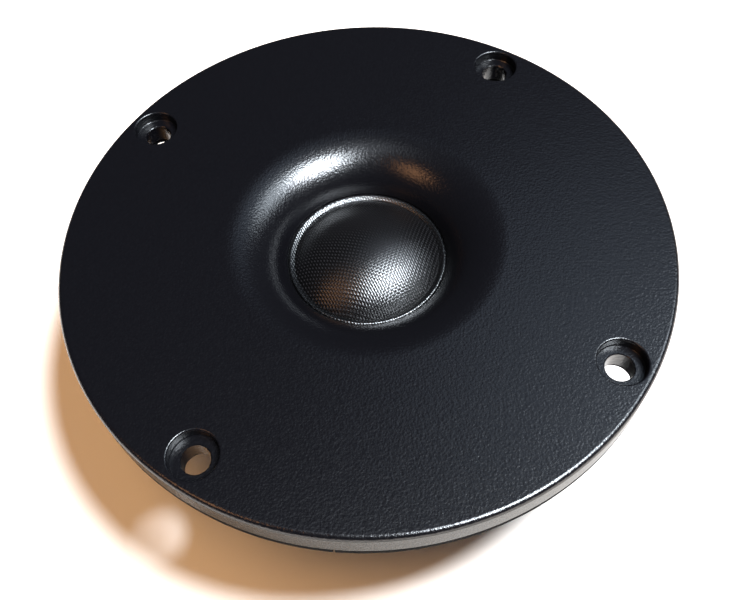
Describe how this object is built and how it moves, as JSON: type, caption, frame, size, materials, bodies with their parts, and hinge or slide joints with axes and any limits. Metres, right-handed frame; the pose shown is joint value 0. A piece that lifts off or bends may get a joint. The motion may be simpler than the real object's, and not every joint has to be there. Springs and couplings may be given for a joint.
{
  "type": "dome tweeter",
  "caption": "Soft dome tweeter with a round black flange, short flared throat, woven dome, ferrite motor and rear terminals",
  "frame": {"origin": "centre of the rear face of the back plate, where the part stands, on the voice coil axis", "axes": "+Z runs forward out of the dome, square to the flange; -Y is the side of the terminals; the mounting holes lie on the diagonals of X and Y"},
  "size_m": [0.104, 0.104, 0.026],
  "materials": {
    "flange_plastic": "fine spark-eroded moulded texture, satin",
    "foam": "closed-cell foam, die cut",
    "dome_cloth": "coated fine weave, slightly glossy",
    "surround_cloth": "coated fine weave, glossy on the roll",
    "former_aluminium": "thin rolled foil",
    "copper_wire": "enamelled copper wire",
    "ring_plastic": "moulded",
    "steel_pins": "bright",
    "brass": "stamped strip",
    "solder": "bright solder",
    "zinc_steel": "zinc plated, turned",
    "ferrite": "ground and raw sintered ferrite",
    "felt": "pressed wool felt",
    "black_screws": "black oxide",
    "board": "laminated phenolic board",
    "tinned_brass": "tinned, stamped"
  },
  "bodies": {
    "frame": {"faceplate": "flange_plastic", "flange_gasket": "foam", "diaphragm_ring": "ring_plastic", "locating_pins": "steel_pins", "feed_strip_positive": "brass", "feed_strip_negative": "brass", "lead_solder_joints": "solder", "top_plate": "zinc_steel", "magnet": "ferrite", "back_plate": "zinc_steel", "pole_felt": "felt", "vent_foam": "foam", "motor_screws": "black_screws", "terminal_board": "board", "terminal_positive": "tinned_brass", "terminal_negative": "tinned_brass", "terminal_rivets": "brass", "terminal_solder_joints": "solder", "board_rivet": "brass"},
    "diaphragm": {"dome": "dome_cloth", "surround": "surround_cloth", "coil_former": "former_aluminium", "voice_coil": "copper_wire", "coil_leads": "copper_wire"}
  },
  "joints": [
    {"name": "diaphragm_travel", "type": "slide", "parent": "frame", "child": "diaphragm", "axis": [0, 0, 1], "range_m": [-0.0004, 0.0004], "stiffness_N_per_m": 9000, "deforming": ["surround", "coil_leads"]}
  ]
}
